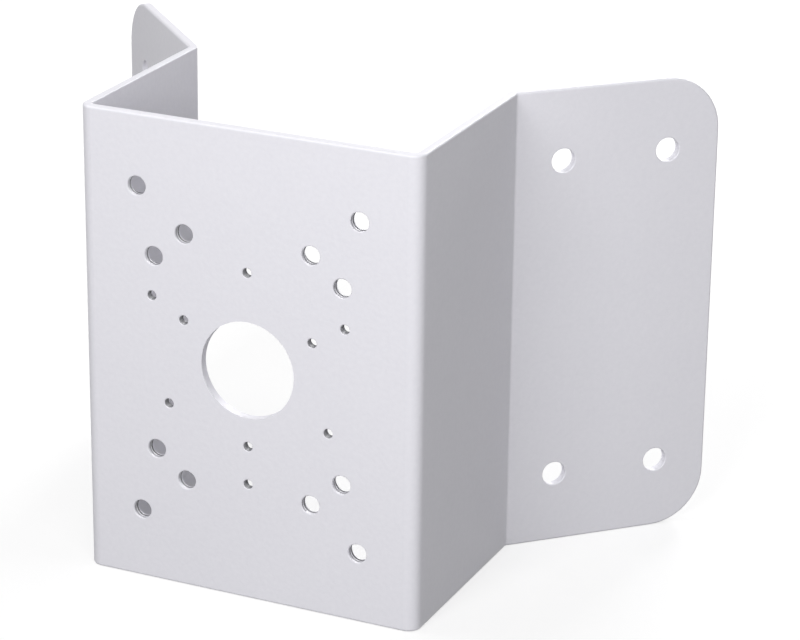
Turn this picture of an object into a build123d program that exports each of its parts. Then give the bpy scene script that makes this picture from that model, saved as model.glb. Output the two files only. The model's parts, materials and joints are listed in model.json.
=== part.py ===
"""Corner mount bracket for a security camera: one folded steel sheet, powder coated.

A front plate takes the camera. Two side walls carry it away from the building, and two
flanges lie on the two walls of an outside corner. Millimetres, +Z up, front facing -Y.
The origin is at the bottom, in the middle of the bracket's width and depth.
"""

from build123d import *
from math import cos, radians, sin, sqrt
import os

# The folded sheet, measured on its outer faces as if the bends were sharp
front_width = 127.0
height = 170.0
side_depth = 78.5
flange_length = 77.0
building_corner_angle = 90.0
sheet = 3.2
bend_radius = 1.5
flange_corner_radius = 20.0

# Edges: punching draws the outer face's edge round and leaves the inner one nearly square.
# The cable hole is left sharp, and each smaller hole is lightly countersunk from outside.
outer_edge_radius = 0.8
inner_edge_chamfer = 0.25
hole_chamfer = 0.25

# Front plate: a cable hole in the middle, with tapped camera holes around it
cable_hole_diameter = 35.0
m8_bore_diameter = 6.8
m4_bore_diameter = 3.4
tall_pattern_width = 83.0
tall_pattern_height = 119.0
narrow_pattern_width = 47.5
narrow_pattern_height = 90.0
square_pattern_circle = 100.0
large_dome_circle = 84.0
medium_dome_circle = 70.0
small_dome_circle = 56.0

# Flanges: four plain holes each for wall anchors
anchor_hole_diameter = 8.8
anchor_column_spacing = 39.5
anchor_row_spacing = 118.0
anchor_edge_distance = 19.5

# Plan of the sheet: each flange turns outwards by half of the building's corner.
# The rearmost points are the ends of the chamfer on each flange's inner corner.
flange_turn = radians(building_corner_angle / 2)
flange_reach = flange_length * Vector(sin(flange_turn), cos(flange_turn))
chamfered_off = inner_edge_chamfer * min(sin(flange_turn), cos(flange_turn))
depth = side_depth + flange_reach.Y + sheet * sin(flange_turn) - chamfered_off
front_y = -depth / 2
middle_height = height / 2
front_corner = Vector(front_width / 2, front_y)
rear_corner = Vector(front_width / 2, front_y + side_depth)
flange_end = rear_corner + flange_reach


def outer_outline():
    """The plan of the sheet's outer face, from the left flange's free end to the right one's."""
    right_half = [front_corner, rear_corner, flange_end]
    left_half = [Vector(-point.X, point.Y) for point in reversed(right_half)]
    convex_bend = bend_radius + sheet
    bends = [bend_radius, convex_bend, convex_bend, bend_radius]
    return FilletPolyline(*left_half, *right_half, radius=bends)


def folded_sheet(outline):
    """The outline given its thickness inwards and raised to the bracket's height."""
    plan = make_face(offset(outline, amount=sheet, side=Side.LEFT, closed=True))
    return extrude(plan, amount=height)


front_face = Plane(origin=(0, front_y, middle_height), x_dir=(1, 0, 0), z_dir=(0, -1, 0))


def flange_face(side):
    """A flange's outer face: origin at its bend corner, X towards its free end, Z out of the sheet."""
    along = Vector(side * sin(flange_turn), cos(flange_turn))
    outwards = Vector(side * cos(flange_turn), -sin(flange_turn))
    corner = Vector(side * rear_corner.X, rear_corner.Y, middle_height)
    return Plane(origin=corner, x_dir=along, z_dir=outwards)


def round_free_corners(bracket):
    """Rounds the upper and lower corner of both flanges' free ends."""
    for side in (-1, 1):
        face = flange_face(side)
        across_sheet = bracket.edges().filter_by(Axis((0, 0, 0), face.z_dir))
        corners = [edge for edge in across_sheet if face.to_local_coords(edge.center()).X > flange_length / 2]
        bracket = fillet(corners, flange_corner_radius)
    return bracket


def rim_edges(bracket, outline):
    """The edges that bound one face of the sheet, found over its plan outline."""
    free_ends = [outline @ 0, outline @ 1]

    def is_on_rim(edge):
        middle = edge.center()
        over_plan = Vector(middle.X, middle.Y)
        if outline.distance_to(over_plan) > sheet / 100:
            return False
        is_upright = edge.geom_type == GeomType.LINE and abs((edge % 0.5).Z) > 0.5
        at_free_end = min((over_plan - end).length for end in free_ends) < sheet / 100
        return at_free_end or not is_upright

    return bracket.edges().filter_by(is_on_rim)


def rectangle_of_holes(across, upwards):
    """Four hole centres, as offsets from the middle of the front plate."""
    return [(x, z) for x in (-across / 2, across / 2) for z in (-upwards / 2, upwards / 2)]


def circle_of_holes(diameter, first_angle):
    """Three hole centres evenly round the middle of the front plate."""
    angles = [radians(first_angle + third * 120) for third in range(3)]
    return [(diameter / 2 * cos(angle), diameter / 2 * sin(angle)) for angle in angles]


def plain_hole(face, centre, diameter):
    """The tool that cuts a hole straight through the sheet."""
    return face * Pos(*centre) * Cylinder(diameter / 2, 3 * sheet)


def countersunk_hole(face, centre, diameter):
    """The tool that cuts a hole through the sheet, with a small chamfer at the outer face."""
    radius = diameter / 2
    countersink = face * Pos(*centre) * Cone(radius, radius + 2 * hole_chamfer, 2 * hole_chamfer)
    return plain_hole(face, centre, diameter) + countersink


square_pattern_side = square_pattern_circle / sqrt(2)
m8_holes = [
    *rectangle_of_holes(tall_pattern_width, tall_pattern_height),
    *rectangle_of_holes(narrow_pattern_width, narrow_pattern_height),
    *rectangle_of_holes(square_pattern_side, square_pattern_side),
]
m4_holes = [
    *circle_of_holes(large_dome_circle, 30),
    *circle_of_holes(medium_dome_circle, 90),
    *circle_of_holes(small_dome_circle, 30),
]
outer_column = flange_length - anchor_edge_distance
anchor_holes = [
    (across, up)
    for across in (outer_column - anchor_column_spacing, outer_column)
    for up in (-anchor_row_spacing / 2, anchor_row_spacing / 2)
]

outer_plan = outer_outline()
inner_plan = offset(outer_plan, amount=sheet, side=Side.LEFT, closed=False)
corner_bracket = round_free_corners(folded_sheet(outer_plan))
corner_bracket = fillet(rim_edges(corner_bracket, outer_plan), outer_edge_radius)
corner_bracket = chamfer(rim_edges(corner_bracket, inner_plan), inner_edge_chamfer)

hole_tools = [plain_hole(front_face, (0, 0), cable_hole_diameter)]
hole_tools += [countersunk_hole(front_face, centre, m8_bore_diameter) for centre in m8_holes]
hole_tools += [countersunk_hole(front_face, centre, m4_bore_diameter) for centre in m4_holes]
for side in (-1, 1):
    hole_tools += [countersunk_hole(flange_face(side), centre, anchor_hole_diameter) for centre in anchor_holes]
corner_bracket -= hole_tools

os.makedirs("parts", exist_ok=True)
export_step(corner_bracket, "parts/corner_bracket.step")
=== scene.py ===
from math import cos, radians, sin
import json

import bmesh
import bpy
import numpy as np
from mathutils import Matrix, Vector


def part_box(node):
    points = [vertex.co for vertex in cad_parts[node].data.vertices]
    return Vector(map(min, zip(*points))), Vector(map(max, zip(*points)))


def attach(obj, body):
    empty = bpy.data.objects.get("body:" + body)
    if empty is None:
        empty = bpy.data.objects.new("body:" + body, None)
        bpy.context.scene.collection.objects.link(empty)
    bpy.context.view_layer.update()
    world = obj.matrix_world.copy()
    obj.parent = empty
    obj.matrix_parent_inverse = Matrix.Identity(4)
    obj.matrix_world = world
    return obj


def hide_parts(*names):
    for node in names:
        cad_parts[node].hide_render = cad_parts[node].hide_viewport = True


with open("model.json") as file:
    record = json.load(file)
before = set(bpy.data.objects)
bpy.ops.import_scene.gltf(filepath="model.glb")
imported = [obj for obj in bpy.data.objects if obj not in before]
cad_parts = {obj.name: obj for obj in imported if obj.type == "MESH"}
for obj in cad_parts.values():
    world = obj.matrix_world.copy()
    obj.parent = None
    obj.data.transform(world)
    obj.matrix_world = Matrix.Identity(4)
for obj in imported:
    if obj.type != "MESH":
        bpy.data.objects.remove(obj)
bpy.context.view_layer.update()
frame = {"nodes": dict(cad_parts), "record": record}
mm = 0.001


# The bracket: one steel sheet, punched flat, folded at four bends and powder coated white.
# Its flanges are screwed to the two walls of a building's outside corner, and the camera is
# screwed to its front plate.
def keep_normals(mesh, turned):
    """Writes each corner's normal, times 1 or -1, into an attribute that a cut carries along."""
    normals = np.zeros(3 * len(mesh.loops), dtype=np.float32)
    mesh.corner_normals.foreach_get("vector", normals)
    kept = mesh.attributes.new("kept_normal", "FLOAT_VECTOR", "CORNER")
    kept.data.foreach_set("vector", turned * normals)


def show_kept_normals(mesh):
    """Shades a mesh by the normals kept at its corners, each brought back to length one."""
    normals = np.zeros(3 * len(mesh.loops), dtype=np.float32)
    mesh.attributes["kept_normal"].data.foreach_get("vector", normals)
    mesh.attributes.remove(mesh.attributes["kept_normal"])
    normals = normals.reshape(-1, 3)
    mesh.shade_smooth()
    mesh.normals_split_custom_set(normals / np.linalg.norm(normals, axis=1, keepdims=True))


def join_corners(mesh, within):
    """Merges corners that lie within a distance of each other, and drops the faces that leaves flat."""
    shell = bmesh.new()
    shell.from_mesh(mesh)
    bmesh.ops.remove_doubles(shell, verts=shell.verts, dist=within)
    bmesh.ops.dissolve_degenerate(shell, edges=shell.edges, dist=within)
    shell.to_mesh(mesh)
    shell.free()


def merged_copy(node, name):
    """A new object with a copy of a CAD node's mesh, its doubled corners merged, its normals kept."""
    mesh = frame["nodes"][node].data.copy()
    mesh.name = name
    mesh.materials.clear()
    keep_normals(mesh, turned=1)
    join_corners(mesh, within=0.0001 * mm)
    piece = bpy.data.objects.new(name, mesh)
    bpy.context.scene.collection.objects.link(piece)
    return piece


def linear(hex_colour):
    """The linear colour of an sRGB hex value: a straight line near black, a power of 2.4 above it."""
    channels = np.array([int(hex_colour[start:start + 2], 16) for start in (1, 3, 5)]) / 255
    curved = np.where(channels <= 0.04045, channels / 12.92, ((channels + 0.055) / 1.055) ** 2.4)
    return (*curved, 1.0)


def add_node(tree, kind, inputs=None, **settings):
    """Adds one shader node: settings are its properties, inputs its sockets' values or links."""
    node = tree.nodes.new(kind)
    for name, value in settings.items():
        setattr(node, name, value)
    for socket, value in (inputs or {}).items():
        if isinstance(value, bpy.types.NodeSocket):
            tree.links.new(value, node.inputs[socket])
        else:
            node.inputs[socket].default_value = value
    return node


def empty_material(name):
    """A material with nodes, holding only its output."""
    material = bpy.data.materials.new(name)
    material.use_nodes = True
    material.node_tree.nodes.clear()
    output = add_node(material.node_tree, "ShaderNodeOutputMaterial")
    return material, material.node_tree, output


def powder_coat():
    """Polyester powder coat, sprayed dry and baked: off-white and satin, with a fine orange peel.

    It is a shade greyer in broad clouds, where it lies thinner. It is also greyer in the peel's
    valleys, and that is painted shade. The grain of unmelted powder is really about 0.05 mm. It is
    drawn coarser, and the peel deeper, than on the real coat, so that both show.
    """
    material, tree, output = empty_material("satin_white_powder_coat")
    full_colour = linear("#EAE9EF")
    # The thin colour stands for the thinner coat in the clouds and for painted shade in the peel's valleys.
    thin_coat_and_valley_shade_colour = linear("#E2E1E8")
    cloud_size = 35 * mm
    peel_wavelength = 1.6 * mm
    painted_valley_shade_share = 0.7
    peel_height = 0.045 * mm
    grain_size = 0.4 * mm
    grain_height = 0.004 * mm
    place = add_node(tree, "ShaderNodeTexCoord").outputs["Object"]
    cloud = add_node(tree, "ShaderNodeTexNoise", {"Vector": place, "Scale": 1 / cloud_size, "Detail": 2.0})
    peel = add_node(
        tree, "ShaderNodeTexNoise", {"Vector": place, "Scale": 1 / peel_wavelength, "Detail": 1.0}
    )
    grain = add_node(tree, "ShaderNodeTexNoise", {"Vector": place, "Scale": 1 / grain_size, "Detail": 0.0})
    # The tint's factor mixes the coat's random clouds with painted shade in the peel's valleys.
    coat_thickness_and_valley_shade = add_node(
        tree, "ShaderNodeMix", {"Factor": painted_valley_shade_share, "A": cloud.outputs["Fac"], "B": peel.outputs["Fac"]}
    )
    tint = add_node(
        tree, "ShaderNodeMix",
        {"Factor": coat_thickness_and_valley_shade.outputs["Result"], "A": thin_coat_and_valley_shade_colour, "B": full_colour},
        data_type="RGBA",
    )
    peel_bump = add_node(
        tree, "ShaderNodeBump", {"Height": peel.outputs["Fac"], "Distance": peel_height}
    )
    grain_bump = add_node(
        tree, "ShaderNodeBump",
        {"Height": grain.outputs["Fac"], "Distance": grain_height, "Normal": peel_bump.outputs["Normal"]},
    )
    coat = add_node(
        tree, "ShaderNodeBsdfPrincipled",
        {"Base Color": tint.outputs["Result"], "Roughness": 0.5, "IOR": 1.5,
         "Normal": grain_bump.outputs["Normal"]},
    )
    tree.links.new(coat.outputs["BSDF"], output.inputs["Surface"])
    return material


bracket_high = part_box("corner_bracket")[1]
bracket = merged_copy("corner_bracket", "tapped_bracket")
bracket.data.materials.append(powder_coat())
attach(bracket, "root")
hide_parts("corner_bracket")


# The tapped holes: metric coarse threads cut into the front plate's own steel, M8 for a
# camera's foot and M4 for small domes. The CAD holes are the drilled bores, and each groove is
# cut outwards from its bore here. Each thread starts at its own angle, as from a hand tap.
sheet_thickness = 3.2 * mm
tap_sides = 72
turn_between_starts = radians(137.5)
mounts = {mount["name"]: mount for mount in frame["record"]["mounts"]}
plate_middle = Vector(mounts["camera_m8_tall"]["pos_m"])


def rectangle_of_holes(pattern):
    """Four points: half of the pattern's two spacings to each side of the plate's middle."""
    dims = mounts[pattern]["dims"]
    half = np.array([dims["spacing_x_mm"], dims["spacing_y_mm"]]) * mm / 2
    return half * np.array([[-1, -1], [-1, 1], [1, 1], [1, -1]])


def circle_of_holes(pattern, first_angle):
    """Points at equal angles round the pattern's circle: its radius times cosine and sine."""
    dims = mounts[pattern]["dims"]
    angle = first_angle + np.arange(dims["count"]) * 2 * np.pi / dims["count"]
    return dims["pcd_mm"] * mm / 2 * np.stack([np.cos(angle), np.sin(angle)], axis=1)


def tap(pitch, major_radius, minor_radius, turns):
    """A closed rod with a right-hand thread under z = 0: its points, quads and end triangles.

    Each pitch has four rows, both edges of the crest and then both edges of the core, with
    flanks at 30 degrees to the radius between them. As on a metric thread, the crest is an
    eighth of the pitch wide. A row is a helix: its height is the pitch times the turns gone
    by, plus the row's own offset. After a full turn it meets the row that stands four further
    on, so the seam joins those two. A cone closes each end.
    """
    flank_angle = radians(30)
    half_crest = pitch / 16
    core_start = half_crest + (major_radius - minor_radius) * np.tan(flank_angle)
    row_offset = np.array([-half_crest, half_crest, core_start, pitch - core_start])
    row_radius = np.array([major_radius, major_radius, minor_radius, minor_radius])
    rows_a_pitch = len(row_offset)
    angle = np.linspace(0, 2 * np.pi, tap_sides, endpoint=False)[:, None]
    row = np.arange(rows_a_pitch * turns)[None, :]
    height = pitch * (row // rows_a_pitch + angle / (2 * np.pi)) + row_offset[row % rows_a_pitch]
    height = height - height.max()
    radius = row_radius[row % rows_a_pitch]
    points = np.stack([radius * np.cos(angle), radius * np.sin(angle), height], axis=2).reshape(-1, 3)
    index = np.arange(len(points)).reshape(tap_sides, -1)
    sides = np.stack([index[:-1, :-1], index[1:, :-1], index[1:, 1:], index[:-1, 1:]], axis=2)
    before_seam = index[-1, :-rows_a_pitch]
    after_seam = index[0, rows_a_pitch:]
    seam = np.stack([before_seam[:-1], after_seam[:-1], after_seam[1:], before_seam[1:]], axis=1)
    low_loop = np.concatenate([index[:, 0], index[0, rows_a_pitch:0:-1]])
    high_loop = np.concatenate([index[:, -1], index[-1, -2:-rows_a_pitch - 2:-1]])
    tips = np.array([[0, 0, height.min() - pitch], [0, 0, pitch]])
    low_tip = np.full_like(low_loop, len(points))
    high_tip = np.full_like(high_loop, len(points) + 1)
    low_cone = np.stack([np.roll(low_loop, -1), low_loop, low_tip], axis=1)
    high_cone = np.stack([high_loop, np.roll(high_loop, -1), high_tip], axis=1)
    quads = np.concatenate([sides.reshape(-1, 4), seam])
    return np.concatenate([points, tips]), quads, np.concatenate([low_cone, high_cone])


def painted_groove_shade(name, at_face, deep_shade):
    """Painted shade for a thread: satin grey, and darker in the deeper turns, where less light reaches.

    Object y runs into the plate from its face. The two colours are mixed by a smooth step of it,
    from the plate's face to the far side of the sheet.
    """
    material, tree, output = empty_material(name)
    place = add_node(tree, "ShaderNodeTexCoord").outputs["Object"]
    depth = add_node(tree, "ShaderNodeSeparateXYZ", {"Vector": place}).outputs["Y"]
    depth_share = add_node(
        tree, "ShaderNodeMapRange",
        {"Value": depth, "From Min": plate_middle.y, "From Max": plate_middle.y + sheet_thickness},
        interpolation_type="SMOOTHSTEP",
    )
    tint = add_node(
        tree, "ShaderNodeMix",
        {"Factor": depth_share.outputs["Result"], "A": linear(at_face), "B": linear(deep_shade)},
        data_type="RGBA",
    )
    thread = add_node(
        tree, "ShaderNodeBsdfPrincipled", {"Base Color": tint.outputs["Result"], "Roughness": 0.45}
    )
    tree.links.new(thread.outputs["BSDF"], output.inputs["Surface"])
    return material


def cut_threads(piece, centres, pitch, major_radius, minor_radius, finish):
    """Cuts a thread at each centre with a tap that is turned by its start about its axis.

    The tap's z becomes -y, which points out of the plate. Its core is slimmer than the bore,
    so that it cuts only the grooves.
    """
    sharp_edge_angle = radians(50)
    turns = int(np.ceil(sheet_thickness / pitch)) + 1
    points, quads, triangles = tap(pitch, major_radius, minor_radius, turns)
    start = (turn_between_starts * np.arange(len(centres)))[:, None]
    across = points[:, 0] * np.cos(start) - points[:, 1] * np.sin(start) + centres[:, :1]
    up = points[:, 0] * np.sin(start) + points[:, 1] * np.cos(start) + centres[:, 1:]
    deep = np.broadcast_to(-points[:, 2], across.shape)
    placed = np.stack([across, deep, up], axis=2).reshape(-1, 3) + np.array(plate_middle)
    first_point = (np.arange(len(centres)) * len(points))[:, None, None]
    faces = (first_point + quads).reshape(-1, 4).tolist()
    faces += (first_point + triangles).reshape(-1, 3).tolist()
    mesh = bpy.data.meshes.new("taps")
    mesh.from_pydata(placed.tolist(), [], faces)
    mesh.shade_smooth()
    mesh.set_sharp_from_angle(angle=sharp_edge_angle)
    keep_normals(mesh, turned=-1)
    mesh.materials.append(finish)
    taps = bpy.data.objects.new("taps", mesh)
    bpy.context.scene.collection.objects.link(taps)
    cut = piece.modifiers.new("thread", "BOOLEAN")
    cut.operation = "DIFFERENCE"
    cut.solver = "MANIFOLD"
    cut.material_mode = "TRANSFER"
    cut.object = taps
    evaluated = piece.evaluated_get(bpy.context.evaluated_depsgraph_get())
    threaded = bpy.data.meshes.new_from_object(evaluated)
    piece.modifiers.clear()
    piece.data = threaded
    bpy.data.objects.remove(taps)


def finish_bores(piece, centres, bore_radius, finish):
    """Gives a thread's painted shade to its bore too.

    Those are the faces inside the plate whose distance from a centre, across the plate, is no
    more than the bore's radius and a little slack.
    """
    slack = 0.02 * mm
    faces = piece.data.polygons
    middles = np.zeros(3 * len(faces), dtype=np.float32)
    faces.foreach_get("center", middles)
    middles = middles.reshape(-1, 3) - np.array(plate_middle)
    from_axis = np.linalg.norm(middles[:, None, [0, 2]] - centres[None, :, :], axis=2).min(axis=1)
    in_plate = (middles[:, 1] > 0) & (middles[:, 1] < sheet_thickness)
    slots = np.zeros(len(faces), dtype=np.int32)
    faces.foreach_get("material_index", slots)
    slots[in_plate & (from_axis < bore_radius + slack)] = piece.data.materials.find(finish.name)
    faces.foreach_set("material_index", slots)


m8_centres = np.concatenate([
    rectangle_of_holes("camera_m8_tall"),
    rectangle_of_holes("camera_m8_narrow"),
    rectangle_of_holes("camera_m8_square"),
])
m4_centres = np.concatenate([
    circle_of_holes("dome_m4_large", radians(30)),
    circle_of_holes("dome_m4_medium", radians(90)),
    circle_of_holes("dome_m4_small", radians(30)),
])
# Both thread colours are painted shade: grey at the plate's face and darker deep in the hole.
m8_finish = painted_groove_shade("m8_thread_painted_shade", at_face="#CFCED4", deep_shade="#4E4E53")
m4_finish = painted_groove_shade("m4_thread_painted_shade", at_face="#A8A8AD", deep_shade="#5C5C61")
cut_threads(
    bracket, m8_centres, pitch=1.25 * mm, major_radius=4.0 * mm, minor_radius=3.3 * mm, finish=m8_finish
)
cut_threads(
    bracket, m4_centres, pitch=0.7 * mm, major_radius=2.0 * mm, minor_radius=1.65 * mm, finish=m4_finish
)
finish_bores(bracket, m4_centres, bore_radius=1.7 * mm, finish=m4_finish)
join_corners(bracket.data, within=0.001 * mm)
show_kept_normals(bracket.data)


# The studio floor: a wide sheet of matt white paper. It glows, so that it shows as plain white
# with only the bracket's faint shadow on it, and it throws back less light than it shows, so
# that little light reaches the bracket from below.
def disc(name, radius, height):
    """A flat disc, filled: x and y are the radius times cosine and sine."""
    rim_points = 96
    angle = np.linspace(0, 2 * np.pi, rim_points, endpoint=False)
    points = np.stack([radius * np.cos(angle), radius * np.sin(angle), np.full_like(angle, height)], axis=1)
    mesh = bpy.data.meshes.new(name)
    mesh.from_pydata(points, [], [tuple(range(len(points)))])
    piece = bpy.data.objects.new(name, mesh)
    bpy.context.scene.collection.objects.link(piece)
    return piece


def seen_directly(tree):
    """One on rays that see the background: from the camera, a gloss or a clear piece."""
    path = add_node(tree, "ShaderNodeLightPath")
    glossy = add_node(
        tree, "ShaderNodeMath",
        {0: path.outputs["Is Camera Ray"], 1: path.outputs["Is Glossy Ray"]}, operation="MAXIMUM",
    )
    clear = add_node(
        tree, "ShaderNodeMath",
        {0: glossy.outputs["Value"], 1: path.outputs["Is Transmission Ray"]}, operation="MAXIMUM",
    )
    return clear.outputs["Value"]


def paper():
    """Matt white paper: it glows white to the eye and takes a faint shadow near the middle."""
    material, tree, output = empty_material("white_paper")
    glow_at_middle = 0.68
    glow_far_off = 1.0
    middle_radius = 0.4
    far_off_radius = 1.5
    shadow_taking_grey = linear("#A0A0A0")
    bounce_grey = linear("#5A5A5A")
    place = add_node(tree, "ShaderNodeTexCoord").outputs["Object"]
    distance = add_node(tree, "ShaderNodeVectorMath", {0: place}, operation="LENGTH")
    glow = add_node(
        tree, "ShaderNodeMapRange",
        {"Value": distance.outputs["Value"], "From Min": middle_radius, "From Max": far_off_radius,
         "To Min": glow_at_middle, "To Max": glow_far_off},
        interpolation_type="SMOOTHSTEP",
    )
    white = add_node(
        tree, "ShaderNodeEmission", {"Color": linear("#FFFFFF"), "Strength": glow.outputs["Result"]}
    )
    shaded = add_node(tree, "ShaderNodeBsdfDiffuse", {"Color": shadow_taking_grey})
    looks = add_node(tree, "ShaderNodeAddShader", {0: white.outputs["Emission"], 1: shaded.outputs["BSDF"]})
    bounce = add_node(tree, "ShaderNodeBsdfDiffuse", {"Color": bounce_grey})
    either = add_node(
        tree, "ShaderNodeMixShader",
        {0: seen_directly(tree), 1: bounce.outputs["BSDF"], 2: looks.outputs["Shader"]},
    )
    tree.links.new(either.outputs["Shader"], output.inputs["Surface"])
    return material


floor = disc("floor", radius=6.0, height=0.0)
floor.data.materials.append(paper())


# The studio light: soft boxes, and a weak even light from a white room. The strongest boxes
# stand in front and behind, a little above the bracket: one lights the front plate and the
# other the walls seen through its holes.
def soft_box(name, azimuth, elevation, power):
    """A square soft box that faces the bracket's middle from a direction, given in degrees."""
    distance = 1.1
    box_side = 0.5
    light = bpy.data.lights.new(name, "AREA")
    light.shape = "SQUARE"
    light.size = box_side
    light.energy = power
    lamp = bpy.data.objects.new(name, light)
    bpy.context.scene.collection.objects.link(lamp)
    level = cos(radians(elevation))
    direction = Vector((
        sin(radians(azimuth)) * level,
        -cos(radians(azimuth)) * level,
        sin(radians(elevation)),
    ))
    lamp.location = Vector((0, 0, bracket_high.z / 2)) + direction * distance
    lamp.rotation_mode = "QUATERNION"
    lamp.rotation_quaternion = (-direction).to_track_quat("-Z", "Y")


soft_box("front_box", azimuth=2, elevation=27, power=8.2)
soft_box("right_box", azimuth=42, elevation=12, power=3.25)
soft_box("side_box", azimuth=105, elevation=10, power=1.4)
soft_box("left_box", azimuth=-80, elevation=60, power=2.8)
soft_box("top_box", azimuth=-10, elevation=84, power=1.9)
soft_box("rear_box", azimuth=180, elevation=26, power=8.8)

room_light_strength = 0.03
room_white_strength = 1.0
world = bpy.data.worlds.new("white_room")
world.use_nodes = True
world.node_tree.nodes.clear()
room_light = add_node(
    world.node_tree, "ShaderNodeBackground", {"Color": linear("#FFFFFF"), "Strength": room_light_strength}
)
room_white = add_node(
    world.node_tree, "ShaderNodeBackground", {"Color": linear("#FFFFFF"), "Strength": room_white_strength}
)
room = add_node(
    world.node_tree, "ShaderNodeMixShader",
    {0: seen_directly(world.node_tree), 1: room_light.outputs["Background"],
     2: room_white.outputs["Background"]},
)
add_node(world.node_tree, "ShaderNodeOutputWorld", {"Surface": room.outputs["Shader"]})
bpy.context.scene.world = world


# The camera: a long lens that looks at the bracket from the right and above, as the photograph's
# does, with its slight roll.
camera_azimuth = radians(24.54)
camera_elevation = radians(21.0)
camera_roll = radians(0.7)
camera_distance = 1115.1 * mm
camera_aim = Vector((30.8, -11.4, 89.3)) * mm

camera_data = bpy.data.cameras.new("camera")
camera_data.sensor_width = 36.0
camera_data.lens = 144.15
camera = bpy.data.objects.new("camera", camera_data)
bpy.context.scene.collection.objects.link(camera)
back = Vector((
    sin(camera_azimuth) * cos(camera_elevation),
    -cos(camera_azimuth) * cos(camera_elevation),
    sin(camera_elevation),
))
camera.location = camera_aim + back * camera_distance
camera.rotation_mode = "QUATERNION"
roll = Matrix.Rotation(camera_roll, 3, "Z").to_quaternion()
camera.rotation_quaternion = (-back).to_track_quat("-Z", "Y") @ roll
bpy.context.scene.camera = camera

bpy.context.scene.view_settings.view_transform = "Standard"
